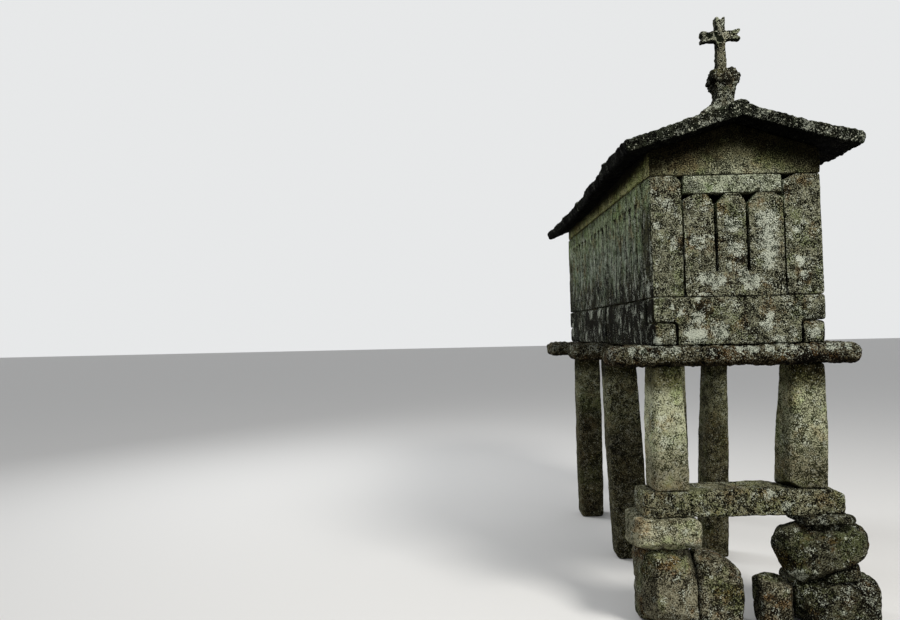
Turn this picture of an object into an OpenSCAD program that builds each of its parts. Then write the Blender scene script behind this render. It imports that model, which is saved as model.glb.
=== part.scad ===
// Raised stone granary: a slotted granite chamber on six pillars, with a gabled slab roof and a cross.
// Millimetres. +X is the right side seen from the front gable, +Y runs to the rear, +Z is up.
// The origin is on the level floor, under the middle of the whole building.

/* [Chamber] */
// Width of the chamber across its walls
chamber_w = 1400; // [1200:10:1700]
// Length of the chamber from the front face to the rear face
chamber_l = 3950; // [3400:10:5000]
// Thickness of the slotted wall slabs
wall_t = 120; // [90:5:140]
// Height of the base course under the slotted walls
base_h = 395; // [320:5:480]
// Width of the side sills, and thickness of the end base blocks
sill_w = 195; // [160:5:230]
// Height of the sill ends that show under the ears of the end base blocks
sill_end_h = 190; // [120:5:260]
// Thickness of the floor slabs
floor_t = 90; // [60:5:150]

/* [Slotted walls] */
// Height of the end panels, up to the underside of the lintel
end_panel_h = 838; // [700:2:950]
// Height of the lintel over an end panel
lintel_h = 152; // [100:2:200]
// Width of the corner posts left of the end panels
post_left_w = 265; // [220:5:300]
// Width of the corner posts right of the end panels
post_right_w = 307; // [240:1:320]
// Depth of the corner posts along the side walls
post_d = 240; // [200:5:300]
// Width of a ventilation slot
slot_w = 22; // [14:1:30]
// Height of the solid foot below the slots
slot_foot_h = 200; // [140:5:300]
// Distance of the two end slots from each other
end_slot_pitch = 259; // [200:1:300]
// How far the two end slots lie to the left of the middle
end_slot_shift = 38; // [0:1:60]
// Slots in each side panel
side_slots = 5; // [3:1:6]
// Panels in each side wall
side_panels = 3;
// Width cut off the left top corner of a slat
flare_wide = 56; // [30:1:70]
// Width cut off the right top corner of a slat
flare_narrow = 32; // [15:1:40]
// Height cut off the left top corner of a slat
flare_h = 82; // [40:1:110]
// Open joint beside panels and between roof slabs
joint_w = 6; // [3:1:10]
// Open joint beside a lintel
lintel_joint_w = 10; // [6:1:20]
// Open joint between the stones of a side sill, a floor and a wall plate
course_joint_w = 20; // [8:1:30]

/* [Roof] */
// Height of the wall plates and of the gable shoulders at the wall face
plate_h = 215; // [150:5:280]
// Width of the wall plates, and thickness of the gable stones
plate_t = 160; // [140:5:200]
// Pitch of the roof in degrees
roof_pitch = 17; // [12:0.5:24]
// Distance of the left eave from the middle of the roof
roof_left_w = 915; // [820:5:1050]
// Distance of the right eave from the middle of the roof
roof_right_w = 955; // [820:5:1050]
// Upright thickness of the roof slabs
roof_t = 113; // [80:1:150]
// How far the roof reaches past the front wall
roof_front_reach = 190; // [100:5:300]
// How far the roof reaches past the rear wall
roof_rear_reach = 300; // [100:5:350]
// Roof slabs in each slope
roof_slabs = 4;
// Radius of the rounded ridge stones
ridge_r = 105; // [80:1:140]
// Height of the ridge stones over the ridge line of the slabs
ridge_rise = 27; // [24:1:60]
// Ridge stones in the row
ridge_count = 4; // [3:1:6]

/* [Cross] */
// Distance of the cross behind the front wall face
cross_y = 265; // [200:5:500]
// How far the pedestal stands to the right of the middle
pedestal_x = 33; // [0:1:50]
// How far the cross stands to the left of the middle of its pedestal
cross_shift = 12; // [0:1:25]
// Width of the pedestal foot on the roof
pedestal_foot_w = 280; // [240:5:380]
// Height over the ridge line at which the foot has narrowed to the neck
pedestal_foot_h = 120; // [90:5:160]
// Width of the pedestal neck
neck_w = 165; // [120:1:190]
// Width of the pedestal flange
flange_w = 247; // [200:1:290]
// Depth of the pedestal neck
neck_d = 140; // [110:5:180]
// Height of the neck over the ridge line of the slabs
neck_z = 215; // [180:5:235]
// Height of the flange underside over the ridge line
flange_z = 255; // [240:5:320]
// Thickness of the pedestal flange
flange_h = 160; // [120:2:200]
// Height of the cross above the pedestal
cross_h = 455; // [400:5:520]
// Width of the cross shaft
shaft_w = 76; // [60:1:100]
// Thickness of the cross
cross_t = 70; // [55:1:95]
// Span of the cross arms
arm_span = 338; // [280:2:400]
// Height of the cross arms
arm_h = 97; // [70:1:110]
// Height from the foot of the cross to the middle of the arms
arm_z = 283; // [240:1:320]
// Radius of the upright edges of the pedestal
pedestal_r = 25; // [10:1:35]

/* [Cap slabs and pillars] */
// Thickness of the three cap slabs
cap_t = 165; // [130:5:200]
// Depth of a cap slab along the building
cap_d = 480; // [400:5:560]
// Distance of the left ends of the cap slabs from the middle
cap_left_reach = 1060; // [900:5:1150]
// Distance of the right ends of the cap slabs from the middle
cap_right_reach = 960; // [900:5:1060]
// How far the front cap slab reaches past the front wall
cap_front_reach = 60; // [20:5:120]
// Distance of the middle cap slab behind the front wall face
cap_middle_y = 1900; // [1700:10:2200]
// Distance of the middle of the rear cap slab before the rear wall face
cap_rear_inset = 330; // [240:10:500]
// Distance of the joint in the side sills before the middle of the middle cap slab
sill_joint_before = 150; // [0:10:180]
// Height of the front pillars
front_pillar_h = 1010; // [850:10:1200]
// Depth of every pillar along the building
pillar_d = 300; // [240:5:360]
// Radius of the pillar corners
pillar_r = 45; // [20:1:60]
// Width of the front left pillar at its top
front_left_top_w = 230; // [200:5:280]
// Width of the front left pillar at its foot
front_left_foot_w = 295; // [240:5:330]
// Width of the front right pillar at its top
front_right_top_w = 260; // [220:5:300]
// Width of the front right pillar at its foot
front_right_foot_w = 330; // [260:5:350]
// How far the foot of the front left pillar stands out past the wall face
front_left_foot_out = 25; // [0:5:40]
// How far the foot of the front right pillar stands in from the wall face
front_right_foot_inset = 10; // [0:5:40]
// Width of the middle left pillar at its top
middle_left_top_w = 329; // [250:1:340]
// Width of the middle left pillar at its foot
middle_left_foot_w = 345; // [260:5:360]
// How far the top of the middle left pillar stands out past the wall face
middle_left_out = 14; // [0:1:40]
// How far the foot of the middle left pillar stands in from the wall face
middle_left_foot_inset = 60; // [0:5:100]
// Width of the middle right pillar at its top
middle_right_top_w = 202; // [190:1:300]
// Width of the middle right pillar at its foot
middle_right_foot_w = 260; // [200:5:320]
// How far the top of the middle right pillar stands in from the wall face
middle_right_inset = 117; // [0:1:150]
// How far the foot of the middle right pillar stands in from the wall face
middle_right_foot_inset = 170; // [60:5:200]
// Width of the rear pillars
rear_w = 288; // [220:1:330]

/* [Front sill beam] */
// Height of the beam underside over the floor
footing_h = 880; // [760:10:1000]
// Height of the beam
beam_h = 205; // [160:5:250]
// Depth of the beam along the building
beam_d = 330; // [310:5:420]
// Distance of the left end of the beam from the middle
beam_left_reach = 818; // [780:1:900]
// Distance of the right end of the beam from the middle
beam_right_reach = 810; // [780:1:900]
// Height of the hump on the beam between the two pillars
beam_hump = 14; // [5:1:40]
// How far the right end of the beam is worn down
beam_end_drop = 40; // [10:1:70]

/* [Left footing] */
// Height of the upper block under the left end of the beam
upper_block_h = 255; // [200:5:340]
// Width of the upper block
upper_block_w = 550; // [500:5:620]
// Distance of the left end of the upper block from the middle
upper_block_reach = 920; // [860:5:980]
// Width of the lower block
lower_block_w = 420; // [380:5:500]
// Distance of the left end of the lower block from the middle
lower_block_reach = 835; // [800:5:880]
// Length of the wedge stone beside the lower block
wedge_l = 381; // [300:1:440]
// How far the wedge stone ends below the top of the lower block
wedge_step = 7; // [0:1:30]
// How far the top of the wedge stone falls to its far end
wedge_drop = 258; // [120:1:320]
// Depth of the footing stones along the building
footing_d = 470; // [420:5:560]

/* [Right footing] */
// Height of the packing stone under the right end of the beam
packing_h = 70; // [40:1:90]
// Width of the packing stone
packing_w = 450; // [380:5:500]
// Distance of the right side of the packing stone from the right side of the boulder
packing_inset = 146; // [100:1:160]
// Height of the rounded boulder
boulder_h = 460; // [380:1:540]
// Width of the rounded boulder
boulder_w = 823; // [740:1:880]
// Distance of the right side of the boulder from the middle
boulder_reach = 1007; // [960:1:1040]
// How deep the front and rear of the boulder are rounded
boulder_round = 70; // [40:5:110]
// Width of the lower block under the boulder
right_block_w = 685; // [600:5:720]
// Distance of the right side of that lower block from the middle
right_block_reach = 1060; // [1000:5:1100]
// Length of the small stone beside the lower block
small_stone_l = 317; // [240:1:380]
// Height of the small stone at its far end
small_stone_h = 422; // [300:1:480]
// How far the top of the small stone falls towards the lower block
small_stone_drop = 85; // [20:1:120]
// Height of the small chock under the right side of the boulder
chock_h = 145; // [90:5:170]
// Depth of the chock along the building
chock_d = 250; // [150:10:320]
// Distance of the chock behind the front of the footing
chock_inset = 40; // [10:5:80]

/* [Hidden] */
// Heights over the floor
beam_top = footing_h + beam_h;
cap_bottom = beam_top + front_pillar_h;
chamber_z = cap_bottom + cap_t;
wall_z = chamber_z + base_h;
wall_h = end_panel_h + lintel_h;
plate_z = wall_z + wall_h;
half_w = chamber_w / 2;
// Height of the slab undersides at the ridge line, and then of their upper faces
ridge_under_z = plate_z + plate_h + half_w * tan(roof_pitch);
ridge_top_z = ridge_under_z + roof_t;
// Places along the building
roof_l = roof_front_reach + chamber_l + roof_rear_reach;
front_y = roof_front_reach - roof_l / 2;
rear_y = front_y + chamber_l;
cap_front_mid = front_y - cap_front_reach + cap_d / 2;
cap_middle_mid = front_y + cap_middle_y;
cap_rear_mid = rear_y - cap_rear_inset;
// Heights in the two front footings
left_lower_h = footing_h - upper_block_h;
right_lower_h = footing_h - packing_h - boulder_h;
lower_block_right = lower_block_w - lower_block_reach;
right_block_left = right_block_reach - right_block_w;
boulder_left = boulder_reach - boulder_w;
footing_front = cap_front_mid - footing_d / 2;
// Edges of the rounded stones
stone_edge = 30;
cap_edge = 40;
// Side walls
side_span = chamber_l - 2 * post_d;
side_pitch = side_span / side_panels;
slab_l = roof_l / roof_slabs;
ridge_stone_l = roof_l / ridge_count;
eps = 1;

// A block between two corners
module block(low, high) {
    translate(low) cube(high - low);
}

// A block whose edges are worn back by e, with flat faces left to bear on
module worn_block(low, high, e) {
    hull() {
        block(low + [e, e, 0], high - [e, e, 0]);
        block(low + [e, 0, e], high - [e, 0, e]);
        block(low + [0, e, e], high - [0, e, e]);
    }
}

// A rounded rectangle, r at the corners
module rounded_plan(w, d, r) {
    signs = [[1, 1], [-1, 1], [-1, -1], [1, -1]];
    polygon([for (q = [0:3], a = [0:30:90])
        [
            signs[q][0] * (w / 2 - r) + r * cos(90 * q + a),
            signs[q][1] * (d / 2 - r) + r * sin(90 * q + a)
        ]
    ]);
}

// A shape drawn in X and Z, and carried from y0 to y1
module along_y(y0, y1) {
    translate([0, y1, 0]) rotate([90, 0, 0]) linear_extrude(y1 - y0) children();
}

// A pillar with its outer face at the wall line, which narrows upwards
module pillar(side, y_mid, z0, top_inset, top_w, foot_inset, foot_w) {
    top_x = side * (half_w - top_inset - top_w / 2);
    foot_x = side * (half_w - foot_inset - foot_w / 2);
    color("#9c9474") hull() {
        translate([top_x, y_mid, cap_bottom - eps])
            linear_extrude(eps) rounded_plan(top_w, pillar_d, pillar_r);
        translate([foot_x, y_mid, z0])
            linear_extrude(eps) rounded_plan(foot_w, pillar_d, pillar_r);
    }
}

// A transverse slab over one pair of pillars, worn round at its ends
module cap_slab(y_mid) {
    low = [-cap_left_reach, y_mid - cap_d / 2, cap_bottom];
    high = [cap_right_reach, y_mid + cap_d / 2, chamber_z];
    color("#5d584b") worn_block(low, high, cap_edge);
}

// The beam that carries the two front pillars, with a hump between them
module front_sill_beam() {
    left_foot = -half_w - front_left_foot_out + front_left_foot_w;
    right_foot = half_w - front_right_foot_inset - front_right_foot_w;
    room = right_foot - left_foot;
    seat_end = half_w - front_right_foot_inset;
    edge = stone_edge / 2;
    color("#8f8b7c")
        along_y(cap_front_mid - beam_d / 2, cap_front_mid + beam_d / 2)
            polygon([
                [-beam_left_reach + edge, footing_h], [beam_right_reach - edge, footing_h],
                [beam_right_reach, footing_h + edge], [beam_right_reach, beam_top - beam_end_drop * 1.5],
                [beam_right_reach - edge, beam_top - beam_end_drop], [seat_end + edge, beam_top],
                [right_foot, beam_top], [right_foot - room * 0.14, beam_top + beam_hump],
                [left_foot + room * 0.42, beam_top + beam_hump], [left_foot, beam_top],
                [-beam_left_reach + edge, beam_top], [-beam_left_reach, beam_top - 2 * edge],
                [-beam_left_reach, footing_h + edge]
            ]);
}

module left_footing_upper_block() {
    color("#8b877a")
        worn_block(
            [-upper_block_reach, footing_front, left_lower_h],
            [upper_block_w - upper_block_reach, footing_front + footing_d, footing_h], stone_edge);
}

module left_footing_lower_block() {
    color("#7d7a6e")
        worn_block(
            [-lower_block_reach, footing_front, 0],
            [lower_block_right, footing_front + footing_d, left_lower_h], stone_edge);
}

// The stone that slopes down beside the lower block
module left_footing_wedge_stone() {
    high = left_lower_h - wedge_step;
    color("#76736a")
        translate([lower_block_right, 0, 0])
            along_y(footing_front, footing_front + footing_d * 0.7)
                polygon([
                    [0, 0], [wedge_l, 0], [wedge_l, high - wedge_drop],
                    [wedge_l * 0.96, high - wedge_drop * 0.69], [wedge_l * 0.8, high - wedge_drop * 0.47],
                    [wedge_l * 0.56, high - wedge_drop * 0.26], [0, high]
                ]);
}

module right_footing_packing_stone() {
    right_x = boulder_reach - packing_inset;
    color("#85817a")
        worn_block(
            [right_x - packing_w, footing_front, footing_h - packing_h],
            [right_x, footing_front + footing_d * 0.8, footing_h], packing_h / 5);
}

// The outline of the boulder seen from the front, over its own width and height
module boulder_outline() {
    polygon([
        [0.29 * boulder_w, 0], [0.44 * boulder_w, 0], [0.91 * boulder_w, 0.37 * boulder_h],
        [boulder_w, 0.49 * boulder_h], [0.996 * boulder_w, 0.77 * boulder_h],
        [0.94 * boulder_w, 0.91 * boulder_h], [0.84 * boulder_w, boulder_h],
        [0.27 * boulder_w, boulder_h], [0.21 * boulder_w, 0.96 * boulder_h],
        [0.05 * boulder_w, 0.88 * boulder_h], [0, 0.74 * boulder_h],
        [0.06 * boulder_w, 0.54 * boulder_h], [0.15 * boulder_w, 0.16 * boulder_h]
    ]);
}

// The boulder, rounded at the front and narrower at the rear
module right_footing_boulder() {
    rear = footing_front + footing_d;
    color("#7b7a74") hull() {
        boulder_section(0.86, 0.5, footing_front, footing_front + boulder_round);
        boulder_section(1, 0, footing_front + boulder_round, footing_front + 2 * boulder_round);
        boulder_section(0.7, 1, rear - eps, rear);
    }
}

// The outline at a share of its size, moved over by a share of the width that this leaves
module boulder_section(size, over, y0, y1) {
    translate([boulder_left + boulder_w * (1 - size) * over, 0, right_lower_h + boulder_h * (1 - size) / 2])
        along_y(y0, y1) scale(size) boulder_outline();
}

// The thin stone driven in under the right side of the boulder
module right_footing_chock() {
    x0 = boulder_reach - boulder_w * 0.47;
    x1 = boulder_reach - boulder_w * 0.15;
    y0 = footing_front + chock_inset;
    color("#8a8678")
        difference() {
            block([x0, y0, right_lower_h], [x1, y0 + chock_d, right_lower_h + chock_h]);
            chock_clearance();
        }
}

// The boulder drawn out upwards, which the chock is cut to
module chock_clearance() {
    hull() {
        right_footing_boulder();
        translate([0, 0, boulder_h]) right_footing_boulder();
    }
}

// The lowest stone on the right, with a slanted front right corner
module right_footing_lower_block() {
    rear = footing_front + footing_d;
    corner = right_block_w * 0.07;
    color("#807c70")
        linear_extrude(right_lower_h)
            polygon([
                [right_block_left, footing_front], [right_block_reach - corner, footing_front],
                [right_block_reach, footing_front + 3 * corner], [right_block_reach, rear],
                [right_block_left, rear]
            ]);
}

// The small stone that falls towards the lower block
module right_footing_small_stone() {
    color("#77746a")
        translate([right_block_left - small_stone_l, 0, 0])
            along_y(footing_front, footing_front + footing_d * 0.6)
                polygon([
                    [0, 0], [small_stone_l, 0], [small_stone_l, small_stone_h - small_stone_drop],
                    [small_stone_l * 0.2, small_stone_h], [0, small_stone_h - stone_edge]
                ]);
}

// One side of the base course: two long stones, notched at the ends for the end base blocks
module side_sill(side) {
    inner = half_w - sill_w;
    joint = cap_middle_mid - sill_joint_before;
    color("#66635a")
        for (part = [[front_y, joint - course_joint_w / 2], [joint + course_joint_w / 2, rear_y]])
            difference() {
                block(
                    [min(side * inner, side * half_w), part[0], chamber_z],
                    [max(side * inner, side * half_w), part[1], wall_z]);
                for (end_y = [front_y, rear_y - sill_w])
                    translate([min(side * inner, side * half_w) - eps, end_y - eps, chamber_z + sill_end_h])
                        cube([sill_w + 2 * eps, sill_w + 2 * eps, base_h]);
            }
}

// The floor between the sills, in two slabs that meet over the middle cap slab
module floor_slabs() {
    x = half_w - sill_w;
    joint = cap_middle_mid;
    color("#6f6b60") {
        block([-x, front_y + sill_w, chamber_z], [x, joint - course_joint_w / 2, chamber_z + floor_t]);
        block([-x, joint + course_joint_w / 2, chamber_z], [x, rear_y - sill_w, chamber_z + floor_t]);
    }
}

// The T-shaped block at the foot of an end wall, whose ears lie on the sill ends
module end_base_block(y0) {
    x = half_w - sill_w;
    color("#827e70") {
        block([-x, y0, chamber_z], [x, y0 + sill_w, wall_z]);
        block([-half_w, y0, chamber_z + sill_end_h], [half_w, y0 + sill_w, wall_z]);
    }
}

module corner_post(side, y0) {
    w = side < 0 ? post_left_w : post_right_w;
    x0 = side < 0 ? -half_w : half_w - w;
    color("#7a7462") block([x0, y0, wall_z], [x0 + w, y0 + post_d, plate_z]);
}

// A slab of width w and height h with upright slots that flare at the top, drawn in X and Z.
// The slots end at the height of the lintels' underside: open there in an end wall, closed in a side wall.
module slotted_face(w, h, slots) {
    difference() {
        square([w, h]);
        for (x = slots) {
            translate([x - slot_w / 2, slot_foot_h]) square([slot_w, end_panel_h + eps - slot_foot_h]);
            slot_flare(x, end_panel_h);
        }
    }
}

// The wedge over a slot, where the corners of two slats are cut off
module slot_flare(x, h) {
    polygon([
        [x - slot_w / 2 - flare_narrow, h + eps],
        [x - slot_w / 2, h - flare_h * 0.6],
        [x + slot_w / 2, h - flare_h],
        [x + slot_w / 2 + flare_wide, h + eps]
    ]);
}

// The slotted slab of an end wall
module end_slotted_panel(y0) {
    x0 = -half_w + post_left_w + joint_w;
    x1 = half_w - post_right_w - joint_w;
    middle = -x0 - end_slot_shift;
    slots = [middle - end_slot_pitch / 2, middle + end_slot_pitch / 2];
    color("#7d7867")
        translate([x0, y0, wall_z])
            along_y(0, wall_t) slotted_face(x1 - x0, end_panel_h, slots);
}

module end_lintel(y0) {
    x0 = -half_w + post_left_w + lintel_joint_w;
    x1 = half_w - post_right_w - lintel_joint_w;
    color("#96917e") block([x0, y0, wall_z + end_panel_h], [x1, y0 + wall_t, plate_z]);
}

// One slab of a side wall, counted from the front
module side_panel(side, index) {
    w = side_pitch - joint_w;
    y0 = front_y + post_d + (index - 1) * side_pitch + joint_w / 2;
    slots = [for (i = [1:side_slots]) i * side_pitch / (side_slots + 1) - joint_w / 2];
    x0 = side < 0 ? -half_w : half_w - wall_t;
    color("#5f6152")
        translate([x0, y0, wall_z])
            rotate([90, 0, 90]) linear_extrude(wall_t) slotted_face(w, wall_h, slots);
}

// The low five-sided stone over an end wall
module gable(y0) {
    color("#7b6f55") along_y(y0, y0 + plate_t)
        polygon([
            [-half_w, plate_z], [half_w, plate_z], [half_w, plate_z + plate_h],
            [0, ridge_under_z], [-half_w, plate_z + plate_h]
        ]);
}

// The course over a side wall, in two stones whose top follows the roof
module wall_plate(side) {
    inner = half_w - plate_t;
    y0 = front_y + plate_t;
    y1 = rear_y - plate_t;
    joint = (y0 + y1) / 2;
    color("#7b6f55")
        for (part = [[y0, joint - joint_w / 2], [joint + joint_w / 2, y1]])
            along_y(part[0], part[1])
                polygon([
                    [side * inner, plate_z], [side * half_w, plate_z],
                    [side * half_w, plate_z + plate_h],
                    [side * inner, plate_z + plate_h + plate_t * tan(roof_pitch)]
                ]);
}

// One slope of the roof in section
module slope_section(side) {
    reach = side < 0 ? roof_left_w : roof_right_w;
    drop = reach * tan(roof_pitch);
    polygon([
        [0, ridge_under_z], [side * reach, ridge_under_z - drop],
        [side * (reach + roof_t * 0.2), ridge_top_z - drop - roof_t * 0.25],
        [side * reach, ridge_top_z - drop], [0, ridge_top_z]
    ]);
}

// The slabs of one slope, side by side from the front to the rear
module roof_slope(side) {
    color("#54544a")
        for (i = [1:roof_slabs]) {
            front_gap = i > 1 ? joint_w / 2 : 0;
            rear_gap = i < roof_slabs ? joint_w / 2 : 0;
            y0 = -roof_l / 2 + (i - 1) * slab_l;
            along_y(y0 + front_gap, y0 + slab_l - rear_gap) slope_section(side);
        }
}

// The rounded stones along the ridge in section, bedded on both slopes
module ridge_section() {
    difference() {
        translate([0, ridge_top_z + ridge_rise - ridge_r]) circle(r = ridge_r, $fn = 48);
        roof_hollow();
    }
}

// Everything under the upper faces of the roof, in section
module roof_hollow() {
    depth = 4 * ridge_r;
    polygon([
        [0, ridge_top_z], [-depth, ridge_top_z - depth * tan(roof_pitch)],
        [-depth, ridge_top_z - depth], [depth, ridge_top_z - depth],
        [depth, ridge_top_z - depth * tan(roof_pitch)]
    ]);
}

module ridge_stones() {
    color("#5c5b50")
        for (i = [1:ridge_count]) {
            front_gap = i > 1 ? joint_w / 2 : 0;
            rear_gap = i < ridge_count ? joint_w / 2 : 0;
            y0 = -roof_l / 2 + (i - 1) * ridge_stone_l;
            along_y(y0 + front_gap, y0 + ridge_stone_l - rear_gap) ridge_section();
        }
}

// The stem under the cross: a flared foot that straddles the ridge, a neck and a flange
module cross_pedestal() {
    y = front_y + cross_y;
    foot_d = neck_d * 1.6;
    shoulder_w = (pedestal_foot_w + neck_w) / 2;
    color("#5e5d50") difference() {
        union() {
            hull() {
                pedestal_plate(y, pedestal_foot_w, foot_d, -pedestal_foot_w / 2 * tan(roof_pitch));
                pedestal_plate(y, shoulder_w, foot_d, pedestal_foot_h * 0.5);
            }
            hull() {
                pedestal_plate(y, shoulder_w, foot_d, pedestal_foot_h * 0.5);
                pedestal_plate(y, neck_w, neck_d, pedestal_foot_h);
            }
            hull() {
                pedestal_plate(y, neck_w, neck_d, pedestal_foot_h);
                pedestal_plate(y, neck_w, neck_d, neck_z);
            }
            hull() {
                pedestal_plate(y, neck_w, neck_d, neck_z);
                pedestal_plate(y, flange_w * 0.9, neck_d * 1.25, flange_z);
            }
            hull() {
                pedestal_plate(y, flange_w * 0.9, neck_d * 1.25, flange_z);
                pedestal_plate(y, flange_w, neck_d * 1.35, flange_z + flange_h * 0.3);
                pedestal_plate(y, flange_w, neck_d * 1.35, flange_z + flange_h * 0.6);
                pedestal_plate(y, flange_w * 0.78, neck_d, flange_z + flange_h - eps);
            }
        }
        along_y(y - foot_d, y + foot_d) roof_hollow();
        along_y(y - foot_d, y + foot_d) ridge_section();
    }
}

// A thin rounded plate of the pedestal at a height over the ridge line
module pedestal_plate(y, w, d, z) {
    translate([pedestal_x, y, ridge_top_z + z]) linear_extrude(eps) rounded_plan(w, d, pedestal_r);
}

// The cross, whose ends widen a little
module ridge_cross() {
    y = front_y + cross_y;
    spread = 1.09;
    color("#5f5f55")
        translate([pedestal_x - cross_shift, 0, ridge_top_z + flange_z + flange_h])
            along_y(y - cross_t / 2, y + cross_t / 2) {
                polygon([
                    [-shaft_w / 2 * spread, 0], [shaft_w / 2 * spread, 0],
                    [shaft_w / 2 * 0.95, arm_z], [shaft_w / 2 * spread, cross_h],
                    [-shaft_w / 2 * spread, cross_h], [-shaft_w / 2 * 0.95, arm_z]
                ]);
                polygon([
                    [-arm_span / 2, arm_z - arm_h / 2 * spread], [0, arm_z - arm_h / 2 * 0.95],
                    [arm_span / 2, arm_z - arm_h / 2 * spread], [arm_span / 2, arm_z + arm_h / 2 * spread],
                    [0, arm_z + arm_h / 2 * 0.95], [-arm_span / 2, arm_z + arm_h / 2 * spread]
                ]);
            }
}

front_sill_beam();
left_footing_upper_block();
left_footing_lower_block();
left_footing_wedge_stone();
right_footing_packing_stone();
right_footing_boulder();
right_footing_chock();
right_footing_lower_block();
right_footing_small_stone();
pillar(-1, cap_front_mid, beam_top, 0, front_left_top_w, -front_left_foot_out, front_left_foot_w);  // pillar_front_left
pillar(1, cap_front_mid, beam_top, 0, front_right_top_w, front_right_foot_inset, front_right_foot_w);  // pillar_front_right
pillar(-1, cap_middle_mid, 0, -middle_left_out, middle_left_top_w, middle_left_foot_inset,  // pillar_middle_left
        middle_left_foot_w);
pillar(1, cap_middle_mid, 0, middle_right_inset, middle_right_top_w, middle_right_foot_inset,  // pillar_middle_right
        middle_right_foot_w);
pillar(-1, cap_rear_mid, 0, 0, rear_w, 0, rear_w);  // pillar_rear_left
pillar(1, cap_rear_mid, 0, 0, rear_w, 0, rear_w);  // pillar_rear_right
cap_slab(cap_front_mid);  // cap_slab_front
cap_slab(cap_middle_mid);  // cap_slab_middle
cap_slab(cap_rear_mid);  // cap_slab_rear
side_sill(-1);  // side_sill_left
side_sill(1);  // side_sill_right
floor_slabs();
end_base_block(front_y);  // front_base_block
end_base_block(rear_y - sill_w);  // rear_base_block
corner_post(-1, front_y);  // corner_post_front_left
corner_post(1, front_y);  // corner_post_front_right
corner_post(-1, rear_y - post_d);  // corner_post_rear_left
corner_post(1, rear_y - post_d);  // corner_post_rear_right
end_slotted_panel(front_y);  // front_slotted_panel
end_lintel(front_y);  // front_lintel
end_slotted_panel(rear_y - wall_t);  // rear_slotted_panel
end_lintel(rear_y - wall_t);  // rear_lintel
side_panel(-1, 1);  // side_panel_left_1
side_panel(-1, 2);  // side_panel_left_2
side_panel(-1, 3);  // side_panel_left_3
side_panel(1, 1);  // side_panel_right_1
side_panel(1, 2);  // side_panel_right_2
side_panel(1, 3);  // side_panel_right_3
gable(front_y);  // front_gable
gable(rear_y - plate_t);  // rear_gable
wall_plate(-1);  // wall_plate_left
wall_plate(1);  // wall_plate_right
roof_slope(-1);  // roof_slabs_left
roof_slope(1);  // roof_slabs_right
ridge_stones();
cross_pedestal();
ridge_cross();
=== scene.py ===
# %% [markdown]
# # A raised granary of dry-laid granite
#
# This lesson dresses the plain solids of a stone granary, a narrow drying chamber on six pillars.
# Nothing in it is mortared: each block is held by the weight above it. The lesson never moves a
# stone. It gives each one a worn, uneven surface, and then a finish of speckled granite, lichen,
# stains and grime.

import math

import bmesh
import bpy
import numpy as np
from mathutils import Matrix, Vector, noise


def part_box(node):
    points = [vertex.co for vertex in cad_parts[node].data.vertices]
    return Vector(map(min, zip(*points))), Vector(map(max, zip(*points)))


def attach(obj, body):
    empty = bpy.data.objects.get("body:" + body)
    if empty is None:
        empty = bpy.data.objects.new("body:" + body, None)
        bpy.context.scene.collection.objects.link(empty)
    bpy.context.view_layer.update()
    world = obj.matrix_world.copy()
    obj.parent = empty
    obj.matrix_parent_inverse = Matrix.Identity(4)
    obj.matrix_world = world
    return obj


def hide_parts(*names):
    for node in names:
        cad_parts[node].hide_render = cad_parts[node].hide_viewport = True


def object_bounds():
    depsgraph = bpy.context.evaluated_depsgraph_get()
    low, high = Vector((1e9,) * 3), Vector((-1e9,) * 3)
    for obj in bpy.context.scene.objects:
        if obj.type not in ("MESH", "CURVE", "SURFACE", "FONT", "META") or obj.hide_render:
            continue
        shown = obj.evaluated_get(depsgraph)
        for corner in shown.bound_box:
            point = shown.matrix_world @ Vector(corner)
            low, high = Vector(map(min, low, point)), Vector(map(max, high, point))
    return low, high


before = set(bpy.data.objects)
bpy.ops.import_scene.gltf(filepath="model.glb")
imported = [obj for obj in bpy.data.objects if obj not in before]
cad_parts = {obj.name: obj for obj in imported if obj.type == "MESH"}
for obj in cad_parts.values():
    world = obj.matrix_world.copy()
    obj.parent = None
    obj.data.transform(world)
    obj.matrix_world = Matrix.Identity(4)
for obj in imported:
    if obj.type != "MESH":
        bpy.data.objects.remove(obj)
solid_low, solid_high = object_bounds()
print(len(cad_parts), "solids, from", tuple(solid_low), "to", tuple(solid_high))

# %% [markdown]
# ## The camera
#
# The eye stands to the left of the granary, a little higher than its beam, and looks along the
# side wall, as in the photograph. Its place and its three turns were worked out from the corners
# of the chamber, so that the corners of the model fall where those of the real building do.

# %% Camera
EYE = Vector((-2.331, -7.695, 2.391))
turn, tilt, lean = (math.radians(a) for a in (-0.12, 2.02, 1.26))

ahead = Vector(
    (math.sin(turn) * math.cos(tilt), math.cos(turn) * math.cos(tilt), math.sin(tilt))
)
level = Vector((math.cos(turn), -math.sin(turn), 0))
above = level.cross(ahead)
across = level * math.cos(lean) - above * math.sin(lean)
upward = level * math.sin(lean) + above * math.cos(lean)

camera = bpy.data.objects.new("camera", bpy.data.cameras.new("camera"))
aim = Matrix((across, upward, -ahead)).transposed().to_4x4()
camera.matrix_world = Matrix.Translation(EYE) @ aim
camera.data.lens = 28
camera.data.sensor_width = 36
camera.data.clip_end = 400
bpy.context.collection.objects.link(camera)
bpy.context.scene.camera = camera
print("camera at", tuple(round(c, 3) for c in EYE))

# %% [markdown]
# ## Light from all round
#
# Plain studio light shows a material as it is, and pale light from all round fills the shaded
# sides. The Light Path node gives the camera a paler background of its own, which adds no light
# to the stones. A small helper adds each node, because the finishes will need many of them.

# %% Studio


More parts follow.
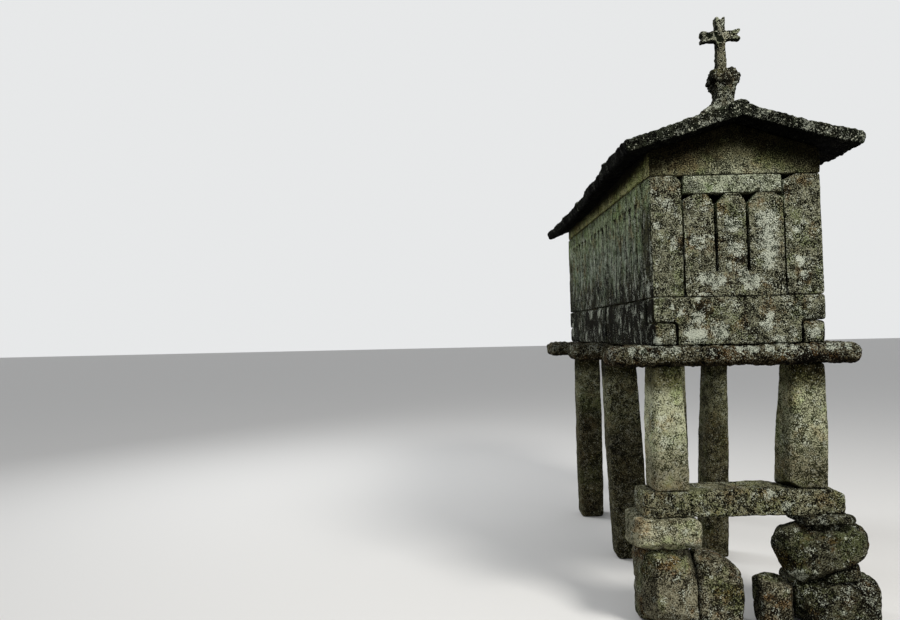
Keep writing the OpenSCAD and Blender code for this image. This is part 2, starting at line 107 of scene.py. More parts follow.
def add_node(tree, kind, inputs=None, **settings):
    """Adds a shader node, sets it, and links or fills its inputs."""
    new = tree.nodes.new("ShaderNode" + kind)
    for key, value in settings.items():
        setattr(new, key, value)
    for key, value in (inputs or {}).items():
        if isinstance(value, bpy.types.NodeSocket):
            tree.links.new(value, new.inputs[key])
        else:
            new.inputs[key].default_value = value
    return new


bpy.context.scene.view_settings.view_transform = "Standard"
world = bpy.data.worlds.new("studio")
bpy.context.scene.world = world
world.use_nodes = True
studio = world.node_tree
studio.nodes.clear()
lit = add_node(studio, "Background", {"Color": (0.95, 0.97, 1.0, 1), "Strength": 0.45})
shown = add_node(studio, "Background", {"Color": (0.80, 0.81, 0.815, 1)})
ray = add_node(studio, "LightPath").outputs
rays = {0: ray["Is Camera Ray"], 1: ray["Is Glossy Ray"]}
either = add_node(studio, "Math", rays, operation="MAXIMUM")
parts = {0: either.outputs[0], 1: lit.outputs[0], 2: shown.outputs[0]}
chosen = add_node(studio, "MixShader", parts)
add_node(studio, "OutputWorld", {0: chosen.outputs[0]})
print("a pale studio of", len(studio.nodes), "nodes")

# %% [markdown]
# ## The lamps
#
# One large soft lamp stands at the front right, as the sun does for the real building. A weaker
# one behind on the left keeps the far side from going flat.

# %% Lamps


def soft_lamp(name, at, towards, width, watts, tint):
    """A square lamp that shines from one point towards another."""
    lamp = bpy.data.lights.new(name, "AREA")
    lamp.size = width
    lamp.energy = watts
    lamp.color = tint
    holder = bpy.data.objects.new(name, lamp)
    holder.location = at
    holder.rotation_euler = (Vector(towards) - Vector(at)).to_track_quat("-Z", "Y").to_euler()
    bpy.context.collection.objects.link(holder)


soft_lamp("key_lamp", (3.5, -7.5, 10.0), (0, -1.2, 2.6), 3.0, 1100, (1.0, 0.98, 0.94))
soft_lamp("rear_lamp", (-7.0, 5.0, 8.0), (0, 0, 2.6), 4.0, 420, (0.96, 0.98, 1.0))
print("two lamps")

# %% [markdown]
# ## The floor
#
# The floor is a wide plain sheet under the stones. It only catches the shadow, so a grid of one
# cell and one pale colour are enough.

# %% Floor
sheet = bmesh.new()
bmesh.ops.create_grid(sheet, x_segments=1, y_segments=1, size=120)
floor_mesh = bpy.data.meshes.new("studio_floor")
sheet.to_mesh(floor_mesh)
sheet.free()
floor = bpy.data.objects.new("studio_floor", floor_mesh)
bpy.context.collection.objects.link(floor)

pale = bpy.data.materials.new("studio floor")
pale.use_nodes = True
floor_shader = pale.node_tree.nodes["Principled BSDF"]
floor_shader.inputs["Base Color"].default_value = (0.74, 0.73, 0.71, 1)
floor_shader.inputs["Roughness"].default_value = 0.9
floor_mesh.materials.append(pale)
print("floor laid")

# %% [markdown]
# ## A copy of a solid
#
# Each stone starts as a copy of its solid. A solid comes as loose triangles, so the copy is merged
# and its flat faces are joined first. One node can hold several stones in a row, and these are
# taken apart, so that each wears in its own way.

# %% Copies of the solids


def copy_of(node):
    """A merged copy of a solid, with its flat faces whole."""
    shape = bmesh.new()
    shape.from_mesh(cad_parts[node].data)
    bmesh.ops.remove_doubles(shape, verts=shape.verts, dist=1e-5)
    flat = math.radians(1)
    bmesh.ops.dissolve_limit(shape, angle_limit=flat, verts=shape.verts, edges=shape.edges)
    return shape


def stones_in(shape):
    """The separate stones of a copy, from the front to the rear."""
    waiting = set(shape.verts)
    groups = []
    while waiting:
        group, reached = set(), [waiting.pop()]
        while reached:
            vert = reached.pop()
            group.add(vert.index)
            for edge in vert.link_edges:
                other = edge.other_vert(vert)
                if other in waiting:
                    waiting.remove(other)
                    reached.append(other)
        groups.append(group)
    stones = []
    for group in groups:
        stone = shape.copy()
        stone.verts.ensure_lookup_table()
        others = [v for v in stone.verts if v.index not in group]
        bmesh.ops.delete(stone, geom=others, context="VERTS")
        stones.append(stone)
    shape.free()
    return sorted(stones, key=lambda s: min(v.co.y for v in s.verts))


print("the left sill has", len(stones_in(copy_of("side_sill_left"))), "stones")

# %% [markdown]
# ## An even net of faces
#
# A stone can only look uneven where it has points to move. Subdividing the long faces of a block
# gives long thin cells, so a Remesh modifier wraps it in an even net of small squares, and rounds
# its edges a little, as rain does. The slotted slabs are thinner than such a net can follow, so
# they are diced by planes instead.

# %% Two ways to get an even net
SHARP = 0.5


def even_net(shape, cell):
    """The same form with a surface of even square cells."""
    mesh = bpy.data.meshes.new("net")
    shape.to_mesh(mesh)
    shape.free()
    holder = bpy.data.objects.new("net", mesh)
    bpy.context.collection.objects.link(holder)
    net = holder.modifiers.new("even net", "REMESH")
    net.mode = "VOXEL"
    net.voxel_size = cell
    wrapped = holder.evaluated_get(bpy.context.evaluated_depsgraph_get())
    result = bmesh.new()
    result.from_mesh(wrapped.to_mesh())
    wrapped.to_mesh_clear()
    bpy.data.objects.remove(holder)
    bpy.data.meshes.remove(mesh)
    return result


def plane_cut(shape, at, facing, **settings):
    """Cuts every face that a plane meets."""
    geom = shape.verts[:] + shape.edges[:] + shape.faces[:]
    return bmesh.ops.bisect_plane(
        shape, geom=geom, dist=1e-6, plane_co=at, plane_no=facing, **settings
    )


def diced(shape, steps, arris=0.006):
    """The same form with its edges rounded, cut by planes along X, Y and Z."""
    sharp = [e for e in shape.edges if len(e.link_faces) == 2 and e.calc_face_angle() > SHARP]
    bmesh.ops.bevel(
        shape, geom=sharp, offset=arris, segments=2, profile=0.5, affect="EDGES", material=-1
    )
    for axis, step in enumerate(steps):
        low = min(v.co[axis] for v in shape.verts)
        high = max(v.co[axis] for v in shape.verts)
        cells = max(1, round((high - low) / step))
        facing = Vector((axis == 0, axis == 1, axis == 2))
        for i in range(1, cells):
            plane_cut(shape, facing * (low + (high - low) * i / cells), facing)
    return shape


net = even_net(copy_of("pillar_rear_left"), 0.02)
print("a net of 20 mm on a pillar has", len(net.verts), "points")

# %% [markdown]
# ## How a surface bends
#
# Wear follows the edges of a stone, and so do dirt, lichen and painted shade. The net can be
# asked how sharply it bends: a point that stands out from its neighbours is on an edge, and one
# that lies behind them is in a hollow. Two more helpers give a peak, and noise added up at several
# scales.

# %% Helpers for wear


def bend_at(vert):
    """How far a point stands out from its neighbours: over 0 on edges, under 0 in hollows."""
    total = 0.0
    for edge in vert.link_edges:
        away = vert.co - edge.other_vert(vert).co
        if away.length > 1e-7:
            total += away.normalized().dot(vert.normal)
    return total / len(vert.link_edges)


def peak(away, width):
    """1 at no distance, falling evenly to 0 at the width."""
    return max(0.0, 1 - abs(away) / width)


def waves(here, parts):
    """Noise at one point, added up from pairs of a scale and a weight."""
    return sum(weight * noise.noise(here * scale) for scale, weight in parts)


print("half way down a peak:", peak(0.5, 1.0))

# %% [markdown]
# ## Weathering
#
# Three things shape an old hewn block: the mason leaves broad hollows, rain opens small pits, and
# knocks take pieces off the edges. Noise moves each point in or out for the first two. For the
# third, the edges are worn back most where the noise is high. Each point keeps how much the net
# bends there. It also keeps a number of its stone, which shifts the pattern, so that no stain runs
# on across a joint, and a lift, which makes the stone paler or darker.

# %% Weathering
FINE = 1.0
KEPT = ("bend", "stone", "lift", "sideways", "upward")
STONE_SHIFT = (7.31, 3.77, 5.13)
HOLLOWS = ((3.1, 1.0), (9.7, 0.5))
PITS = ((27, 1.0), (49, 0.6))
CHIP_SCALE, CLEFT_SCALE, CLEFT_WIDTH = 7.3, 2.3, 0.07
INSIDE = 1e-4


def weathered(
    shape, seed, hew=0.006, crumble=0.002, wear=0.02, swell=0.0, cleft=0.0,
    soften=2, lift=0.0, reshape=None,
):
    """Moves the points of a net in and out, and keeps how it bends and the stone's number."""
    if reshape:
        for vert in shape.verts:
            vert.co = reshape(vert.co)
    for _ in range(soften):
        bmesh.ops.smooth_vert(
            shape, verts=shape.verts, factor=0.5, use_axis_x=True, use_axis_y=True, use_axis_z=True
        )
    shape.normal_update()
    layers = [shape.verts.layers.float.new(name) for name in KEPT]
    shift = Vector([seed * step for step in STONE_SHIFT])
    foot = min(v.co.z for v in shape.verts)
    height = max(v.co.z for v in shape.verts) - foot
    moved = []
    for vert in shape.verts:
        here = vert.co + shift
        bend = bend_at(vert)
        chip = max(0.0, bend) * (0.8 + 1.4 * max(-0.4, noise.noise(here * CHIP_SCALE)))
        out = swell * math.sin(math.pi * (vert.co.z - foot) / height)
        if cleft:
            out -= cleft * peak(noise.noise(here * CLEFT_SCALE + shift), CLEFT_WIDTH)
        out += hew * waves(here, HOLLOWS) + crumble * waves(here, PITS) - wear * chip
        moved.append((vert, vert.normal * out))
        for layer, value in zip(layers, (bend, seed, lift, abs(vert.normal.x), vert.normal.z)):
            vert[layer] = value
    for vert, step in moved:
        place = vert.co + step
        for axis, (low, high) in enumerate(zip(solid_low, solid_high)):
            place[axis] = min(max(place[axis], low + INSIDE), high - INSIDE)
        vert.co = place
    return shape


print("kept on each point:", ", ".join(KEPT))

# %% [markdown]
# ## From a net to a piece
#
# The stones of one node are joined in one object, which rides on the building, takes the place of
# the plain solid and names its finish. The object stays at the origin, unturned, so that a
# pattern laid over the whole building meets each stone in its place.

# %% Pieces
made = {}
count = 0


def piece(node, nets, finish):
    """One object out of the nets of a node's stones."""
    whole = bmesh.new()
    for layer in KEPT:
        whole.verts.layers.float.new(layer)
    for net in nets:
        part = bpy.data.meshes.new("part")
        net.to_mesh(part)
        net.free()
        whole.from_mesh(part)
        bpy.data.meshes.remove(part)
    for face in whole.faces:
        face.smooth = True
    name = "stone_" + node
    obj = bpy.data.objects.new(name, bpy.data.meshes.new(name))
    whole.to_mesh(obj.data)
    whole.free()
    bpy.context.collection.objects.link(obj)
    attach(obj, "root")
    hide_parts(node)
    made[name] = (obj, finish)


def hewn(node, cell, slot, finish, far=None, reshape=None, reduce=None, facets=None, **wear):
    """A worn copy of every stone in a node. Those behind the first may have far, coarser cells."""
    global count
    nets = []
    for index, stone in enumerate(stones_in(copy_of(node))):
        count += 1
        if reduce:
            reduce(stone)
        if facets:
            split_off(stone, count, *facets)
        net = even_net(stone, (far if far and index else cell) / FINE)
        nets.append(weathered(net, count, reshape=reshape, **wear))
    piece(node, nets, finish)


print("cells at", FINE, "of their fineness")

# %% [markdown]
# ## Broken corners
#
# A quarry stone has no corner left whole: a hammer, or a fall, splits facets off it. Planes do
# the same to the copy. A few broad ones are named for the stones that show best, and small ones
# follow at seeded random angles. Each goes in from the point that sticks out furthest.

# %% Facets


def cut_off(shape, at, facing):
    """Cuts away what lies beyond a plane, and closes the cut."""
    found = plane_cut(shape, at, facing, clear_outer=True)
    rim = [e for e in found["geom_cut"] if isinstance(e, bmesh.types.BMEdge)]
    bmesh.ops.contextual_create(shape, geom=rim)
    bmesh.ops.recalc_face_normals(shape, faces=shape.faces)


def split_off(shape, seed, cuts, depth, broad=()):
    """Cuts facets off a stone without hollows: the broad ones, then small ones up to a depth."""
    noise.seed_set(seed)
    wanted = [(Vector(facing).normalized(), far) for *facing, far in broad]
    for _ in range(cuts):
        facing = noise.random_unit_vector()
        wanted.append((facing, depth * (0.4 + 0.6 * noise.random())))
    for facing, far in wanted:
        reach = max(v.co.dot(facing) for v in shape.verts)
        cut_off(shape, facing * (reach - far), facing)


print("facets are cut by planes")

# %% [markdown]
# ## The footings
#
# The two front pillars stand on a beam, and the beam on loose boulders, the least worked stones of
# all. For each the table gives the finish, the cell of the net, how often that is smoothed, how
# much paler the stone is, the number and depth of the small facets, and the broad ones.

# %% Footings and beam
hewn("front_sill_beam", 0.011, "footing_granite", "beam", hew=0.008, crumble=0.004, wear=0.03)
FOOTINGS = {
    "left_footing_upper_block": ("block", 0.0105, 1, 0.03, 14, 0.035, (-0.2, -0.3, -0.93, 0.045)),
    "left_footing_lower_block": (
        "boulder", 0.0115, 0, 0.08, 20, 0.045, (-0.75, -0.66, 0, 0.045), (0.25, -0.6, 0.75, 0.09)
    ),
    "left_footing_wedge_stone": (
        "boulder", 0.0115, 1, -0.03, 16, 0.045, (0.6, -0.4, 0.7, 0.06), (-0.7, -0.7, 0.15, 0.06)
    ),
    "right_footing_packing_stone": ("rough", 0.009, 1, -0.07, 14, 0.030),
    "right_footing_boulder": (
        "rough", 0.0105, 0, 0.0, 22, 0.040, (0, -0.6, 0.8, 0.05), (0.15, -0.7, -0.7, 0.045)
    ),
    "right_footing_chock": ("rough", 0.010, 1, -0.05, 8, 0.020),
    "right_footing_lower_block": (
        "rough", 0.0115, 1, -0.12, 20, 0.045, (0, -0.5, 0.86, 0.05), (-0.8, -0.6, 0, 0.05)
    ),
    "right_footing_small_stone": (
        "boulder", 0.0115, 1, -0.16, 16, 0.045, (0.4, -0.5, 0.75, 0.06), (0.85, -0.5, 0, 0.06)
    ),
}
for node, (finish, cell, soften, lift, cuts, depth, *broad) in FOOTINGS.items():
    hewn(
        node, cell, "footing_granite", finish, facets=(cuts, depth, broad),
        hew=0.010, crumble=0.005, wear=0.03, cleft=0.012, soften=soften, lift=lift,
    )
print(count, "footing stones, with the beam")

# %% [markdown]
# ## The pillars
#
# The pillars were dressed more evenly than the walls, with soft rounded corners. Those in front
# show best and get the finer net. One corner has broken off at the foot of the front right one.

# %% Pillars
LIFTS = {"front_left": 0.10, "front_right": -0.05, "middle_left": -0.04}
BROKEN = {"front_right": (0, 0.0, [(-0.53, -0.2, -0.82, 0.055)])}
# The middle and rear pillars stand under the chamber: their darker finish is painted shade.
ROWS = {"front": (0.011, "pillar"), "middle": (0.018, "shaded pillar")}
ROWS["rear"] = ROWS["middle"]
for row, (cell, finish) in ROWS.items():
    for place in (row + "_left", row + "_right"):
        hewn(
            "pillar_" + place, cell, "pillar_granite", finish, facets=BROKEN.get(place),
            lift=LIFTS.get(place, 0.0), crumble=0.0025, swell=0.010, soften=3,
        )
print("six pillars")

# %% [markdown]
# ## The cap slabs
#
# Each pair of pillars carries a broad slab that sticks out on both sides, to stop mice. Rain beats
# on these slabs, so they are the roughest stones of all.

# %% Cap slabs
for row, cell in (("front", 0.011), ("middle", 0.014), ("rear", 0.014)):
    hewn(
        "cap_slab_" + row, cell, "cap_granite", "cap", facets=(18, 0.03),
        hew=0.012, crumble=0.011, wear=0.05, cleft=0.012, soften=1,
    )
print("three cap slabs")

# %% [markdown]
# ## The base course
#
# Two long sills lie along the sides, and a T-shaped block closes each end, with its ears on the
# ends of the sills. The floor slabs only show from below, and their plain solids stay.

# %% Base course
hewn("front_base_block", 0.011, "wall_granite", "wall", hew=0.005, wear=0.03)
hewn("rear_base_block", 0.014, "wall_granite", "wall", hew=0.005)
for side in ("left", "right"):
    hewn(f"side_sill_{side}", 0.019, "wall_granite", "wall", wear=0.03, lift=0.03)
print("base course laid")

# %% [markdown]
# ## The corner posts
#
# A post closes each corner. The mason cut a corner off its top, beside the lintel. A plane makes
# that bevel in the copy, before the net is laid.

# %% Corner posts


def corner_cut(at_x, at_z, run, fall):
    """Cuts a top corner off, from a point on the upright edge to one on the top."""

    def cut(shape):
        facing = Vector((-math.copysign(fall, run), 0, abs(run))).normalized()
        cut_off(shape, (at_x, 0, at_z - fall), facing)

    return cut


for end, cell in (("front", 0.011), ("rear", 0.014)):
    for side in ("left", "right"):
        node = f"corner_post_{end}_{side}"
        low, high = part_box(node)
        inner, run = (high.x, -0.045) if side == "left" else (low.x, 0.10)
        cut = corner_cut(inner, high.z, run, 0.055)
        hewn(node, cell, "wall_granite", "wall", reduce=cut, hew=0.005, lift=-0.04)
print("four corner posts")

# %% [markdown]
# ## The slotted slabs
#
# The wind that dries the cobs enters by narrow upright slots, cut down from the top of each slab.
# The other net would blur them, so these slabs are diced: their edges get a narrow bevel, and
# planes cut them in small cells. In the end walls the slots widen just under the lintel.

# %% Slotted slabs
SLOT_X = (-0.1675, 0.0915)
MOUTH_HEIGHT, MOUTH_SPREAD, MOUTH_REACH = 0.085, 0.036, 0.12


def slotted(node, steps, trims=(), reshape=None):
    """A worn copy of a slab with slots."""
    global count
    count += 1
    shape = copy_of(node)
    for trim in trims:
        trim(shape)
    net = diced(shape, [s / FINE for s in steps])
    net = weathered(net, count, hew=0.004, wear=0.006, soften=0, lift=-0.03, reshape=reshape)
    piece(node, [net], "wall")


def flared(top):
    """Opens the mouths of the slots in an end wall, at the top of its slab."""

    def opened(point):
        mouth = max(0.0, 1 - (top - point.z) / MOUTH_HEIGHT)
        for slot_x in SLOT_X:
            away = point.x - slot_x
            step = MOUTH_SPREAD * mouth * peak(away, MOUTH_REACH)
            point = point + Vector((math.copysign(step, away), 0, 0))
        return point

    return opened


for end, steps in (("front", (0.012, 0.03, 0.014)), ("rear", (0.02, 0.04, 0.02))):
    low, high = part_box(f"{end}_slotted_panel")
    trims = [corner_cut(low.x, high.z, 0.095, 0.045), corner_cut(high.x, high.z, -0.075, 0.04)]
    slotted(f"{end}_slotted_panel", steps, trims, flared(high.z))
for side in ("left", "right"):
    for place in (1, 2, 3):
        slotted(f"side_panel_{side}_{place}", (0.06, 0.020, 0.028))
print("eight slotted slabs")

# %% [markdown]
# ## Lintels, gables and wall plates
#
# A lintel closes the top of each end wall. Over it lies the gable stone, and over the side walls
# the plates, which carry the roof. They were sheltered by the eaves, so they wore less.

# %% Top courses
for end, cell in (("front", 0.010), ("rear", 0.014)):
    hewn(f"{end}_lintel", cell, "wall_granite", "lintel", hew=0.004)
SHELTERED = (
    ("front_gable", 0.012), ("rear_gable", 0.016),
    ("wall_plate_left", 0.02), ("wall_plate_right", 0.02),
)
for node, cell in SHELTERED:
    hewn(node, cell, "plate_granite", "plate", hew=0.004, wear=0.012)
print("top courses laid")

# %% [markdown]
# ## The roof
#
# Four heavy slabs lie on each slope. They were split, not sawn, so their rims are ragged. The left
# eave has sunk towards the rear with age: each slab there turns down a little about the ridge. Two
# lumps stand on its rim, and the front corner of the right slope lifts.

# %% Roof slabs
SINK = ((-2.22, 0.000), (-1.2, 0.008), (-1.0, 0.030), (0.4, 0.105), (1.3, 0.100), (2.22, 0.095))
SINK_Y, SINK_DEPTH = zip(*SINK)
LUMPS = ((-1.37, 0.045, 0.030), (-1.62, 0.030, 0.016))
EAVE_START = 0.8
CORNER_LIFT = 0.040


def slab_form(side, node):
    """Gives the eave of one slope its ragged rim, and its sink or its lifted corner."""
    box_low, box_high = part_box(node)
    reach = max(abs(box_low.x), abs(box_high.x))
    slab_length = (box_high.y - box_low.y) / 4

    def form(point):
        out = abs(point.x) / reach
        eave = max(0.0, (out - EAVE_START) / 0.2)
        worn = eave * (0.004 + 0.022 * noise.noise(Vector((side, point.y * 5.0, 0.5))))
        worn += eave * 0.016 * noise.noise(Vector((side, point.y * 17.0, point.z * 9.0)))
        if side < 0:
            rise = -out * float(np.interp(point.y, SINK_Y, SINK_DEPTH))
            for lump_y, width, height in LUMPS:
                rise += height * eave * peak(point.y - lump_y, width)
        else:
            rise = CORNER_LIFT * out * out * max(0.0, 1 - (point.y - box_low.y) / slab_length)
        return point + Vector((-side * worn, 0, rise))

    return form


for side, node in ((-1, "roof_slabs_left"), (1, "roof_slabs_right")):
    hewn(
        node, 0.014, "roof_granite", "roof", far=0.021, reshape=slab_form(side, node),
        hew=0.013, crumble=0.010, wear=0.010, soften=1,
    )
hewn("ridge_stones", 0.014, "roof_granite", "roof", hew=0.010, crumble=0.005)
print("roof laid")

# %% [markdown]
# ## The pedestal
#
# The cross stands on a stem that frost and lichen have eaten. Its left lip hangs lower than its
# right one, and its foot spreads to the left along the slope of the roof. Pushing the points of
# the net about is simpler than modelling such a worn form anew.

# %% Pedestal
ROOF_FALL = 0.306
stem_low, stem_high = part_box("cross_pedestal")
stem_x = (stem_low.x + stem_high.x) / 2


def step_up(value, width):
    """0 up to no distance, then rising evenly to 1 at the width."""
    return min(1.0, max(0.0, value) / width)


def stem_form(point):
    """Tilts the lip of the pedestal, nicks its left tip and spreads its foot to the left."""
    x, z = point.x - stem_x, point.z - stem_high.z
    lift = 0.20 * x * peak(z + 0.09, 0.13) + 0.035 * peak(z + 0.16, 0.06)
    nick = 0.070 * peak(z + 0.115, 0.030) * step_up(-x - 0.05, 0.05)
    spread = 0.16 * step_up(-0.25 - z, 0.14) ** 1.4 * step_up(-x, 0.08)
    return point + Vector((nick - spread, 0, lift - ROOF_FALL * spread))


hewn(
    "cross_pedestal", 0.0075, "roof_granite", "pedestal", reshape=stem_form,
    hew=0.013, crumble=0.018, soften=1,
)
print("the stem is", round(stem_high.z - stem_low.z, 3), "m high")

# %% [markdown]
# ## The cross
#
# The cross has notched ends, made by pushing the middle of each end inwards, and five round holes
# pushed into its front, whose places are in millimetres. Its arms slope a little, and are
# slimmest beside the shaft.

# %% Cross
cross_low, cross_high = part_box("ridge_cross")
cross_x = (cross_low.x + cross_high.x) / 2
half_arm = (cross_high.x - cross_low.x) / 2
arm_z = cross_low.z + 0.283
ARM_HALF_HEIGHT, NOTCH_START, TOP_NOTCH, HOLE_DEPTH = 0.08, 0.04, 0.022, 0.022
ROUND_HOLES = (
    (-80, 4905, 33), (-16, 4903, 28), (14, 4863, 33), (-29, 4958, 30), (-158, 4903, 24)
)


def cross_form(point):
    """Slims the arms, and pushes in the notches of the ends and the holes of the front."""
    x, z = point.x - cross_x, point.z - arm_z
    if abs(z) < ARM_HALF_HEIGHT:
        out = min(1.0, abs(x) / 0.05)
        slim = 0.15 * peak(abs(x) - 0.095, 0.06) + (0.16 * out if z < 0 else 0.0)
        point = point + Vector((0, 0, 0.064 * x * out + 0.006 * out - slim * z))
    end = max(0.0, abs(x) - half_arm + NOTCH_START) / NOTCH_START
    deep, tall = (0.034, 0.032) if x > 0 else (0.020, 0.022)
    point = point - Vector((math.copysign(deep * end * peak(z, tall), x), 0, 0))
    top = max(0.0, point.z - cross_high.z + 0.03) / 0.03
    point = point - Vector((0, 0, TOP_NOTCH * top * peak(x, 0.028)))
    if point.y < cross_low.y + 0.02:
        for hole in ROUND_HOLES:
            hole_x, hole_z, radius = (size / 1000 for size in hole)
            away = math.hypot(point.x - hole_x, point.z - hole_z)
            point = point + Vector((0, HOLE_DEPTH * peak(away, radius) ** 0.5, 0))
    return point


hewn(
    "ridge_cross", 0.0055, "roof_granite", "cross", reshape=cross_form,
    hew=0.004, crumble=0.005, wear=0.010, soften=1,
)
print(count, "stones in all,", sum(len(o.data.polygons) for o, _ in made.values()), "faces")

# %% [markdown]
# ## Lichen that can be pointed at
#
# Noise makes a likely wall, but the front of this one has patches that a visitor would remember.
# Each is a place across the front or along the left side, a height and a radius, in millimetres.
# Old lichens are wide and broken, and young ones small and firm, in a list of their own.

# %% Places of the patches
PALE_PATCHES = [
    # Left corner post
    (-564, 3424, 45), (-653, 3239, 40), (-524, 3102, 30),
    # Slotted slab, and its foot
    (-325, 3103, 75), (-289, 2800, 60), (-25, 3231, 85), (-14, 3038, 85), (-54, 2900, 55),
    (260, 3253, 130), (231, 3103, 120), (249, 2951, 100), (-228, 2792, 58), (-150, 2776, 62),
    (-192, 2732, 45), (58, 2792, 55), (130, 2762, 66), (82, 2722, 42), (255, 2768, 40),
    # Right corner post
    (490, 2955, 48), (530, 2930, 46), (505, 2900, 36), (489, 3178, 35), (533, 2817, 50),
    # Base block, and the ends of the sills beside it
    (-346, 2477, 80), (-362, 2351, 110), (-165, 2381, 100), (205, 2396, 75), (248, 2482, 42),
    (316, 2290, 65), (-676, 2288, 55), (595, 2353, 75),
    # Front left pillar, beam and right boulder
    (-651, 1664, 60), (-630, 1489, 60), (312, 959, 55), (195, 1048, 50), (370, 419, 95),
    # Gable
    (179, 4122, 70), (516, 3982, 55),
    # Cap slab
    (-897, 2225, 45), (-801, 2232, 38), (-531, 2236, 45), (-31, 2232, 45), (87, 2230, 50),
    (207, 2232, 45), (406, 2234, 40), (698, 2225, 45), (849, 2226, 42),
]
FIRM_PATCHES = [
    # Corner posts
    (-568, 3440, 24), (-655, 3238, 20), (495, 2950, 26), (525, 2925, 28),
    # Base block, and the end of the left sill
    (-545, 2580, 30), (-478, 2526, 34), (-330, 2627, 32), (-348, 2470, 36), (-400, 2352, 55),
    (-355, 2356, 60), (-312, 2344, 52), (-546, 2378, 20), (-690, 2290, 34),
]
SIDE_PATCHES = [
    (-1922, 2743, 60), (-1895, 2659, 35), (-1854, 2828, 40), (-1727, 2523, 60),
    (-1874, 2470, 50), (-1470, 2556, 50), (-851, 2381, 60), (-350, 2593, 70), (48, 2606, 80),
    (22, 2417, 80), (497, 2585, 90), (1744, 2418, 120),
]
DARK_PATCHES = [
    # Foot of the pedestal
    (-95, 4505, 80), (35, 4505, 80), (150, 4520, 75),
    # Base block, slotted slab and right corner post
    (-280, 2557, 85), (-308, 2592, 60), (17, 2956, 50), (543, 2793, 55), (420, 3493, 25),
    # Cap slab
    (-729, 2215, 60), (-250, 2195, 70), (530, 2160, 80), (332, 2150, 70),
    # Painted shadow of the cap on the top of the front right pillar, and the holes of the cross
    (430, 2085, 140), (530, 2085, 130), (630, 2085, 120), (700, 2085, 100), *ROUND_HOLES,
]
pale_count = len(PALE_PATCHES) + len(FIRM_PATCHES) + len(SIDE_PATCHES)
print(pale_count, "pale and", len(DARK_PATCHES), "dark patches")

# %% [markdown]
# ## How near a patch is
#
# A number on each point says how near the middle of a patch it lies, and the finish lets lichen
# grow there. In a firm patch it rises faster and higher. Round spots would look painted on, so
# waves of a few millimetres move the points to and fro first, which makes every outline ragged.

# %% Numbers on the points
front_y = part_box("front_base_block")[0].y
FRONT_DEPTH = 0.3
LEFT_X, LEFT_FOOT, LEFT_TOP = -0.66, 2.26, 3.6
WAVE = 0.008


def waved(along, across, fast, slow):
    """Places moved to and fro by waves that run the other way."""
    return along + WAVE * np.sin(fast * across + 2.5 * np.sin(slow * along))


def nearness(points, patches, axis, steep=1.0, most=1.0):
    """For each point how near the middle of a patch is, from 0 at its rim to the most inside."""
    near = np.zeros(len(points))
    flat, up = points[:, axis], points[:, 2]
    flat, up = waved(flat, up, 95, 47), waved(up, flat, 88, 53)
    for patch in patches:
        at, z, radius = (size / 1000 for size in patch)
        away = np.hypot(flat - at, up - z) / radius
        near = np.maximum(near, np.minimum(most, steep * (1 - away)))
    return near


def patch_numbers(points, normals):
    """How near the pale and the dark patches of the front and the left side are."""
    x, y, z = points.T
    in_front = (y < front_y + FRONT_DEPTH) * np.clip(-3 * normals[:, 1], 0, 1)
    on_left = (x < LEFT_X) & (z < LEFT_TOP) & (z > LEFT_FOOT) & (normals[:, 0] < -0.4)
    firm = nearness(points, FIRM_PATCHES, 0, 3.0, 1.4)
    pale = np.maximum(nearness(points, PALE_PATCHES, 0, 1.8), firm) * in_front
    pale = np.maximum(pale, nearness(points, SIDE_PATCHES, 1, 1.8) * on_left)
    return {"pale_patch": pale, "dark_patch": nearness(points, DARK_PATCHES, 0) * in_front}


grown = 0
for obj, _ in made.values():
    points, normals = (np.empty(len(obj.data.vertices) * 3, np.float32) for _ in range(2))
    obj.data.vertices.foreach_get("co", points)
    obj.data.vertices.foreach_get("normal", normals)
    for name, near in patch_numbers(points.reshape(-1, 3), normals.reshape(-1, 3)).items():
        values = obj.data.attributes.new(name, "FLOAT", "POINT")
        values.data.foreach_set("value", near.astype(np.float32))
        grown += int((near > 0).sum())
print(grown, "points in patches")

# %% [markdown]
# ## A finish in the making
#
# Old granite has layers, and so has its finish. Each layer is a noise pattern that is pushed
# through a narrow range, so that it covers only where the noise is high, and is laid over the
# colour so far. An image would be simpler, but noise never repeats, and it follows the stone
# round every corner. A small class holds the nodes and the colour so far.

# %% The workbench for a finish


def tone(red, green, blue):
    """A colour as it shows on a screen, from 0 to 255, in the linear numbers of a shader."""
    values = [c / 255 for c in (red, green, blue)]
    linear = [c / 12.92 if c <= 0.04045 else ((c + 0.055) / 1.055) ** 2.4 for c in values]
    return (*linear, 1)


